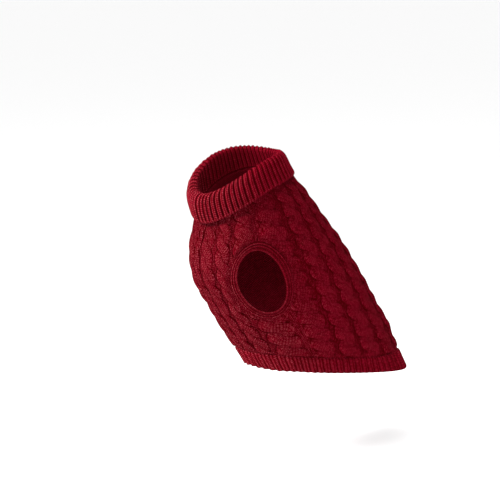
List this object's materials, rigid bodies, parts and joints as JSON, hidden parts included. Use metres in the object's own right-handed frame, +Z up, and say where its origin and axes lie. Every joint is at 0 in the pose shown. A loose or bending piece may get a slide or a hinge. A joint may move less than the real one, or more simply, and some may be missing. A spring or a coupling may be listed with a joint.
{
  "type": "dog sweater",
  "caption": "Sleeveless knitted sweater for a small dog in its hollow worn shape, with raised cables, a folded ribbed collar, trimmed open armholes and a ribbed hem.",
  "frame": {"origin": "inside of the back on its centre line at the withers, where the wearer carries the sweater", "axes": "+Z up, -Y the way the wearer faces, +X the wearer's left, with the wearer sitting"},
  "size_m": [0.1213, 0.2815, 0.2682],
  "materials": {
    "cable_knit": "matt fuzzy yarn, deep red, knitted in fine stitches",
    "rib_knit": "matt fuzzy yarn, deep red, knitted in ribs",
    "trim_knit": "matt fuzzy yarn, deep red, linked on in ridges"
  },
  "bodies": {
    "root": {"back_panel": "cable_knit", "chest_panel": "cable_knit", "collar": "rib_knit", "hem_band": "rib_knit", "armhole_band_left": "trim_knit", "armhole_band_right": "trim_knit"}
  },
  "joints": []
}
